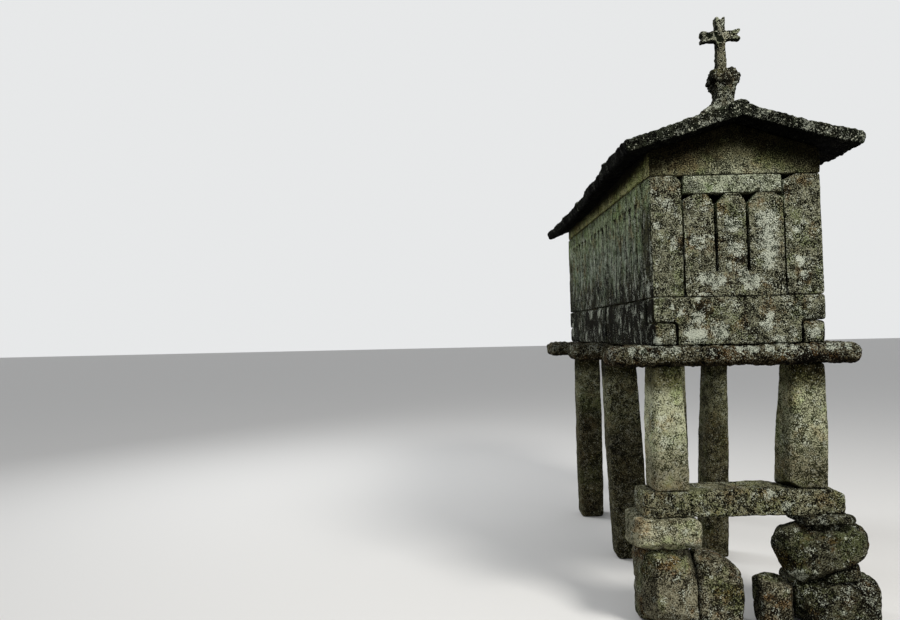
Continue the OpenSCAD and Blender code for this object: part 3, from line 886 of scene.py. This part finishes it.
class Finish:
    """A finish in the making: its nodes, what they read, and the colour that it has so far."""

    def __init__(self, name):
        self.material = bpy.data.materials.new(name)
        self.material.use_nodes = True
        self.place = self.node("TexCoord").outputs["Object"]
        axes = self.node("SeparateXYZ", {0: self.place}).outputs
        self.x, self.y, self.height = axes["X"], axes["Y"], axes["Z"]
        for key in KEPT + ("pale_patch", "dark_patch"):
            kept = self.node("Attribute", attribute_name=key)
            setattr(self, key, kept.outputs["Fac"])

    def node(self, kind, inputs=None, **settings):
        """Adds a node to this finish."""
        return add_node(self.material.node_tree, kind, inputs, **settings)

    def calc(self, kind, a, b=0.0):
        """One arithmetic step."""
        return self.node("Math", {0: a, 1: b}, operation=kind).outputs[0]

    def total(self, start, *parts):
        """A start, and on it each pattern times its weight."""
        for pattern, weight in parts:
            inputs = {0: pattern, 1: weight, 2: start}
            start = self.node("Math", inputs, operation="MULTIPLY_ADD").outputs[0]
        return start

    def noise(self, place, scale, detail, roughness, shift=None):
        """A noise pattern. With a shift, even of 0, it differs from stone to stone."""
        inputs = {"Vector": place, "Scale": scale, "Detail": detail, "Roughness": roughness}
        if shift is None:
            return self.node("TexNoise", inputs).outputs["Fac"]
        inputs["W"] = self.total(self.stone, (shift, 1.0)) if shift else self.stone
        return self.node("TexNoise", inputs, noise_dimensions="4D").outputs["Fac"]

    def cover(self, value, start, full, most=1.0):
        """Turns a pattern into a cover: none below start, the most above full."""
        inputs = {"Value": value, "From Min": start, "From Max": full, "To Max": most}
        cover = self.node("MapRange", inputs, interpolation_type="SMOOTHSTEP")
        return cover.outputs["Result"]

    def over(self, share, under, colour, blend="MIX"):
        """One colour laid over another."""
        inputs = {"Factor": share, 6: under, 7: colour}
        laid = self.node("Mix", inputs, data_type="RGBA", blend_type=blend)
        return laid.outputs[2]

    def paint(self, share, colour):
        """Lays a colour over the colour so far."""
        self.colour = self.over(share, self.colour, colour)

    def tint(self, share, tint):
        """Multiplies the colour so far by a tint."""
        self.colour = self.over(share, self.colour, (*tint, 1), "MULTIPLY")


print("a mid grey is", [round(c, 3) for c in tone(128, 128, 128)])

# %% [markdown]
# ## The bare stone
#
# Seen from a few metres, weathered granite is a fine mix of nearly black and nearly white. So the
# recipe first makes one number that swings widely over a centimetre or two, and then looks its
# colour up in a ramp from black crust to pale crystal. Dirt and damp only tint that mix, so the
# speckle shows through them.

# %% Grains and ramp
GRAIN_SCALE, FLECK_SCALE, BLOTCH_SCALE, CLOUD_SCALE = 100.0, 190.0, 17.0, 4.0
CRUST_AT, DARK_AT, MIDDLE_AT, LIGHT_AT, CRYSTAL_AT = 0.20, 0.37, 0.50, 0.65, 0.88


def speckle(mix, value, tones):
    """A ramp from black crust through three stone tones to pale crystal."""
    dark, middle, light = (tone(*rgb) for rgb in tones)
    ramp = mix.node("ValToRGB", {"Fac": value})
    first, last = ramp.color_ramp.elements
    first.position, first.color = CRUST_AT, [0.30 * c for c in dark[:3]] + [1]
    last.position, last.color = CRYSTAL_AT, [1.5 * c for c in light[:3]] + [1]
    for at, colour in ((DARK_AT, dark), (MIDDLE_AT, middle), (LIGHT_AT, light)):
        ramp.color_ramp.elements.new(at).color = colour
    return ramp.outputs["Color"]


def bare_stone(mix, tones, swing):
    """Pale and dark grains of about a centimetre, in clouds of lighter and darker stone."""
    mix.grains = mix.noise(mix.place, GRAIN_SCALE, 1, 0.7)
    mix.flecks = mix.noise(mix.place, FLECK_SCALE, 1, 0.5)
    mix.blotches = mix.noise(mix.place, BLOTCH_SCALE, 4, 0.72, 0)
    clouds = mix.noise(mix.place, CLOUD_SCALE, 4, 0.65, 0)
    own = mix.node("TexWhiteNoise", {"W": mix.stone}, noise_dimensions="1D")
    parts = (
        (mix.grains, 4.3 * swing), (mix.flecks, 1.6 * swing), (mix.blotches, 3.3 * swing),
        (clouds, 1.2), (own.outputs["Value"], 0.08),
    )
    centred = 0.5 - 0.5 * sum(weight for _, weight in parts)
    mix.plain = mix.total(centred, *parts)
    mix.value = mix.total(
        mix.plain, (mix.lift, 1.0), (mix.pale_patch, 0.10), (mix.dark_patch, -0.25)
    )
    mix.colour = speckle(mix, mix.value, tones)


print("ramps run from black crust to pale crystal")

# %% [markdown]
# ## Where things grow
#
# Two more patterns say where the black crust and the pale lichen are likely. Both follow the
# edges and the placed patches. On the long sides the rain has drawn them out downwards, so there
# the pattern is stretched along the height, from the cap slabs upwards.

# %% Crust and lichen
CAP_TOP = 2.3
DRAWN_OUT = 0.6


def growth(mix, side):
    """The patterns of the black crust and of the pale lichen."""
    mix.run = mix.place
    if side:
        mix.on_side = mix.cover(mix.sideways, 0.45, 0.75)
        above_cap = mix.calc("MULTIPLY", mix.on_side, mix.total(-CAP_TOP, (mix.height, 1.0)))
        run_z = mix.total(mix.height, (above_cap, -DRAWN_OUT))
        mix.run = mix.node("CombineXYZ", {0: mix.x, 1: mix.y, 2: run_z}).outputs[0]
    crust = mix.noise(mix.run, 14.0, 5, 0.8, 12.7)
    mix.crust = mix.total(crust, (mix.bend, -0.15), (mix.dark_patch, 0.25))
    wide = mix.noise(mix.place, 2.2, 2, 0.5, 21.3)
    fine = mix.noise(mix.run, 16.0, 6, 0.75, 17.9)
    mix.lichen = mix.total(
        0.0, (wide, 0.30), (fine, 1.9), (mix.bend, 0.08), (mix.grains, 0.75),
        (mix.flecks, 0.30), (mix.pale_patch, 0.31),
    )


print("patterns are stretched above", CAP_TOP, "m")

# %% [markdown]
# ## The damp sides
#
# The long sides get no sun and stay damp. They have their own tones: green near the eaves, and
# nearly black lower down and at the corners, where the water runs. Lumps of noise are added to
# the height, so that the border between the two is ragged.

# %% Damp sides
LOW_TONES = ((8, 9, 6), (22, 24, 17), (99, 105, 90))
MIDDLE_Y = -0.055


def damp_side(mix, side):
    """The green, black and wet parts of the long sides."""
    lumps = mix.noise(mix.run, 10.0, 4, 0.75, 31.9)
    wide = mix.total(-0.90, (lumps, 1.7), (mix.plain, 1.1))
    lumpy = speckle(mix, mix.total(-1.30, (lumps, 2.6), (wide, 0.8)), LOW_TONES)
    squeezed = mix.node("Mapping", {"Vector": mix.place, "Scale": (0.0, 1.0, 0.12)})
    streaks = mix.noise(squeezed.outputs[0], 2.4, 2, 0.5)
    to_end = mix.calc("ABSOLUTE", mix.total(mix.y, (-MIDDLE_Y, 1.0)))

    def on_side(pattern, start, full):
        return mix.calc("MULTIPLY", mix.on_side, mix.cover(pattern, start, full))

    low_down = on_side(mix.total(mix.height, (lumps, 1.1)), 3.62, 3.28)
    corners = on_side(to_end, 1.60, 1.80)
    sill = on_side(mix.height, 2.70, 2.58)
    wet = mix.calc("MULTIPLY", low_down, mix.cover(streaks, 0.43, 0.54))
    wet_corners = mix.calc("MULTIPLY", corners, mix.cover(mix.height, 3.5, 3.25))
    wet = mix.calc("MAXIMUM", wet, wet_corners)
    mix.crust = mix.total(mix.crust, (low_down, 0.04), (wet, 0.05))
    mix.lichen = mix.total(mix.lichen, (low_down, 0.01), (sill, -0.03))
    mix.paint(mix.on_side, speckle(mix, wide, side))
    mix.paint(low_down, lumpy)
    mix.tint(wet, (0.32, 0.28, 0.20))
    mix.tint(sill, (0.36, 0.35, 0.32))
    mix.tint(on_side(mix.height, 3.1, 3.6), (1.25, 1.28, 0.98))
    # Painted shade of the slots: edges on the long sides are darkened.
    mix.tint(on_side(mix.bend, 0.03, 0.11), (0.70, 0.68, 0.60))


print("the sides are darkest at", LOW_TONES[0])

# %% [markdown]
# ## Stains, algae and crust
#
# Brown stains come from iron in the stone, green ones from algae, and the black crust from old
# growth that has died. The first two only tint the stone. The crust hides it.

# %% Stains
BROWN_TINT, GREEN_TINT = (0.80, 0.48, 0.25), (0.72, 0.95, 0.45)
CRUST_TONE = tone(25, 23, 17)


def stains(mix, brown, green, black):
    """Brown stains, green algae and black crust, each with the most that it covers."""
    stain = mix.noise(mix.place, 4.4, 5, 0.7, 3.1)
    stain = mix.total(stain, (mix.dark_patch, 0.35))
    mix.tint(mix.cover(stain, 0.52, 0.62, brown), BROWN_TINT)
    algae = mix.noise(mix.place, 3.7, 4, 0.65, 8.4)
    mix.tint(mix.cover(algae, 0.50, 0.62, green), GREEN_TINT)
    mix.paint(mix.cover(mix.crust, 0.55, 0.60, black), CRUST_TONE)


print("stains tint by", BROWN_TINT, "and", GREEN_TINT)

# %% [markdown]
# ## Pale lichen
#
# The lichen has sharp rims, and is itself a mix of pale and grey crumbs. In the middle of a firm
# patch the crumbs close up. Dirt and painted shade lie over it in the hollows, where the net bends
# inwards.

# %% Pale lichen
LICHEN_GREY, LICHEN_WHITE, HOLLOW_DIRT_AND_SHADE = tone(70, 76, 61), tone(208, 213, 195), tone(14, 13, 11)


def pale_lichen(mix, pale):
    """Crumbs of lichen, and the dirt and painted shade in the hollows."""
    mix.grown = mix.cover(mix.lichen, 1.78, 1.85, pale)
    crumbs = mix.total(mix.blotches, (mix.grains, 0.8))
    crumbs = mix.calc("ADD", crumbs, mix.cover(mix.pale_patch, 0.95, 1.4, 0.11))
    mix.paint(mix.grown, mix.over(mix.cover(crumbs, 0.80, 0.96), LICHEN_GREY, LICHEN_WHITE))
    # Dirt and painted shade in the hollows.
    mix.paint(mix.cover(mix.bend, -0.02, -0.22, 0.8), HOLLOW_DIRT_AND_SHADE)


print("lichen runs from grey to white crumbs")

# %% [markdown]
# ## Under the eaves
#
# Rain never reaches the top of the walls, and old soot has stayed there. The darkening is also
# painted shadow of the eaves. On the gable its border follows the slope of the roof. On the sides
# it is a dark band, widest towards the rear.

# %% Soot under the eaves
DRY_AND_SHADED_TINT, SHADOW_AND_SOOT_TINT, EAVE_SHADOW_AND_SOOT_TINT = (0.90, 0.83, 0.68), (0.04, 0.035, 0.025), (0.05, 0.045, 0.03)


def eave_shadow_and_soot(mix):
    """The dry ochre stone under the roof, and the soot and painted shadow of the eaves above it.
    """
    out = mix.calc("ABSOLUTE", mix.x)
    shelter = mix.total(mix.height, (out, ROOF_FALL), (mix.on_side, -0.19), (mix.blotches, 0.5))
    # Painted shadow of the eaves, with soot: darker towards the roof, along its slope.
    mix.tint(mix.cover(shelter, 3.95, 4.12), DRY_AND_SHADED_TINT)
    mix.tint(mix.cover(shelter, 3.94, 4.23), SHADOW_AND_SOOT_TINT)
    behind = mix.cover(mix.y, -2.0, -1.2)
    band = mix.total(mix.height, (mix.blotches, 0.2), (behind, 0.06))
    # Painted shadow of the eaves, with soot, as a band on the long sides.
    mix.tint(mix.calc("MULTIPLY", mix.on_side, mix.cover(band, 3.83, 3.94)), EAVE_SHADOW_AND_SOOT_TINT)


print("the roof falls by", ROOF_FALL)

# %% [markdown]
# ## Single white grains
#
# Here and there a grain of quartz catches the eye. These grains are the highest tips of a noise
# of their own, and never show on an underside or a damp side.

# %% Sparks
SPARK_SCALE, SPARK_TONE = 75.0, tone(182, 184, 164)


def sparks(mix, most, side):
    """Single white grains."""
    tips = mix.total(mix.noise(mix.place, SPARK_SCALE, 0, 0.5), (mix.blotches, 0.5))
    share = mix.cover(tips, 0.96, 1.01, most)
    share = mix.calc("MULTIPLY", share, mix.cover(mix.upward, -0.8, -0.35))
    if side:
        share = mix.calc("MULTIPLY", share, mix.cover(mix.sideways, 0.75, 0.45))
    mix.paint(share, SPARK_TONE)


print("sparks at a scale of", SPARK_SCALE)

# %% [markdown]
# ## One recipe for every stone
#
# All the stones come from one quarry, so one recipe serves for all, and each takes its own share
# of each layer. Undersides, rims and flanks can be darkened with painted shade, bands tint a stone
# up to a height, and holes are filled with dark moss. The stone is rough, with next to no gloss,
# and the speckle also lifts the surface a little, as bump.

# %% The recipe
FINISHES = {}
ROUGHNESS, GLOSS, BUMP_DEPTH = 0.93, 0.03, 0.009
MOSS = tone(16, 21, 11)


def granite(
    name, tones, side=None, swing=1.0, pale=0.5, black=0.5, brown=0.3, green=0.4, underside_shade=0.30,
    spark=0.4, rim=1.0, flank_shade=1.0, bands=(), eaves=False, holes=False,
):
    """A granite finish out of three stone tones, the share of each growth and stain, and painted
    shade.
    """
    mix = Finish(name + " granite")
    bare_stone(mix, tones, swing)
    growth(mix, side)
    if side:
        damp_side(mix, side)
    stains(mix, brown, green, black)
    # Painted shade: faces that do not look up are darkened by the rim share.
    if rim < 1:
        mix.tint(mix.cover(mix.upward, 0.65, 0.35), [rim] * 3)
    pale_lichen(mix, pale)
    # Painted shade: faces that look down are darkened by the underside share.
    mix.tint(mix.cover(mix.upward, -0.35, -0.8), (underside_shade, 0.95 * underside_shade, 0.85 * underside_shade))
    if eaves:
        eave_shadow_and_soot(mix)
    for uneven, start, full, tint in bands:
        mix.tint(mix.cover(mix.total(mix.height, (mix.blotches, uneven)), start, full), tint)
    if spark:
        sparks(mix, spark, side)
    # Painted shade: faces that look sideways are darkened by the flank share.
    if flank_shade < 1:
        mix.tint(mix.cover(mix.sideways, 0.45, 0.80), [flank_shade] * 3)
    if holes:
        mix.paint(mix.cover(mix.dark_patch, 0.08, 0.24, 0.95), MOSS)

    shader = mix.material.node_tree.nodes["Principled BSDF"]
    relief = {"Height": mix.total(mix.value, (mix.grown, 0.25)), "Strength": 0.8}
    bump = mix.node("Bump", {**relief, "Distance": BUMP_DEPTH})
    mix.material.node_tree.links.new(mix.colour, shader.inputs["Base Color"])
    mix.material.node_tree.links.new(bump.outputs["Normal"], shader.inputs["Normal"])
    shader.inputs["Roughness"].default_value = ROUGHNESS
    shader.inputs["Specular IOR Level"].default_value = GLOSS
    FINISHES[name] = mix.material


print("recipe ready")

# %% [markdown]
# ## Walls and gables
#
# The front wall is grey with much pale lichen. The lintel is the palest stone. The gable and the
# plates, dry under the eaves, are smooth and ochre, with soot and painted shadow of the eaves
# above.

# %% Finishes of the chamber
granite(
    "wall", ((36, 35, 24), (73, 73, 56), (118, 118, 97)),
    side=((50, 54, 41), (87, 94, 78), (128, 137, 119)),
    swing=1.2, pale=0.8, black=0.7, brown=0.6, spark=0.7,
)
granite(
    "lintel", ((72, 75, 57), (106, 110, 90), (142, 147, 125)),
    swing=0.8, pale=0.7, green=0.5,
)
granite(
    "plate", ((71, 72, 54), (105, 107, 86), (141, 143, 119)),
    side=((90, 88, 65), (127, 126, 99), (157, 156, 127)),
    swing=0.8, pale=0.1, black=0.4, brown=0.35, spark=0, eaves=True,
)
print(", ".join(FINISHES))

# %% [markdown]
# ## Roof, pedestal and cross
#
# The roof is the darkest part, black with crust, and painted shade darkens its rims and flanks
# further. The pedestal is as weathered. The cross stands in the sun and is much paler, above all
# on its arms and head. Painted shade darkens the flanks of the pedestal and the cross too.

# %% Finishes of the roof
granite(
    "roof", ((16, 16, 13), (33, 35, 28), (72, 76, 62)),
    side=((8, 8, 7), (20, 20, 17), (46, 47, 40)),
    swing=1.4, pale=0.3, black=0.9, green=0.5, underside_shade=0.07, spark=0.8, rim=0.34, flank_shade=0.35,
)
granite(
    "pedestal", ((18, 18, 14), (44, 44, 34), (98, 98, 82)),
    swing=1.25, pale=0.7, black=0.9, brown=0.4, underside_shade=0.12, spark=0.9, flank_shade=0.35,
)
granite(
    "cross", ((28, 28, 20), (76, 77, 63), (142, 143, 124)),
    swing=1.5, pale=0.8, brown=0.2, underside_shade=0.12, spark=0.9, flank_shade=0.35,
    bands=((0.1, 4.91, 4.85, (0.54, 0.51, 0.46)),), holes=True,
)
print(len(FINISHES), "finishes so far")

# %% [markdown]
# ## Caps, pillars and footings
#
# The cap slabs are dark and crusted, most of all on their lower half. The pillars are warm and
# clean, with a damp band at the foot and painted shadow of the cap at their tops. The middle
# and rear pillars take darker tones, as painted shade. The upper block of the footings is nearly
# as pale, and the beam and the loose boulders are duller. Painted shade darkens the flanks of the
# footing stones.

# %% Finishes below the chamber
# The first band is damp at the foot; the second is painted shadow of the cap slab at the top.
DAMP_FOOT_AND_CAP_SHADOW = ((-0.8, 1.15, 0.80, (0.52, 0.48, 0.46)), (0.2, 1.94, 2.07, (0.28, 0.26, 0.20)))
granite(
    "cap", ((18, 16, 10), (42, 38, 27), (92, 88, 70)),
    swing=1.65, pale=0.9, black=0.95, brown=0.8, green=0.2, spark=0.7,
    bands=((0.10, 2.24, 2.17, (0.50, 0.42, 0.32)),),
)
granite(
    "pillar", ((77, 78, 56), (114, 115, 88), (156, 157, 129)),
    swing=0.52, black=0.15, bands=DAMP_FOOT_AND_CAP_SHADOW,
)
# The same stone in darker tones for the middle and rear pillars: painted shade.
granite(
    "shaded pillar", ((48, 47, 31), (75, 75, 52), (109, 108, 82)),
    swing=0.65, pale=0.3, black=0.3, bands=DAMP_FOOT_AND_CAP_SHADOW,
)
granite(
    "beam", ((37, 35, 24), (73, 71, 52), (122, 120, 95)),
    swing=1.1, pale=0.7, black=0.6, brown=0.4, green=0.3, spark=0.6,
)
granite(
    "block", ((78, 76, 56), (118, 116, 92), (158, 156, 130)),
    swing=0.5, pale=0.6, black=0.4, brown=0.5, flank_shade=0.6,
)
granite(
    "boulder", ((46, 42, 30), (82, 78, 60), (124, 120, 99)),
    swing=0.62, pale=0.8, black=0.6, brown=0.8, green=0.5, spark=0.3, flank_shade=0.5,
)
granite(
    "rough", ((22, 20, 14), (43, 42, 31), (79, 78, 61)),
    swing=0.6, pale=0.6, black=0.6, brown=0.8, green=0.5, spark=0.3, flank_shade=0.6,
)
for obj, finish in made.values():
    obj.data.materials.append(FINISHES[finish])
print(len(FINISHES), "finishes on", len(made), "pieces")

# %% [markdown]
# ## What stays a plain solid
#
# The floor slabs lie in shadow between the sills. Their solids are flat, and stay, with the finish
# of the walls in the place of their plain colour.

# %% Floor slabs
floor_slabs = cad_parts["floor_slabs"].data.materials
floor_slabs.clear()
floor_slabs.append(FINISHES["wall"])
print("floor slabs finished")
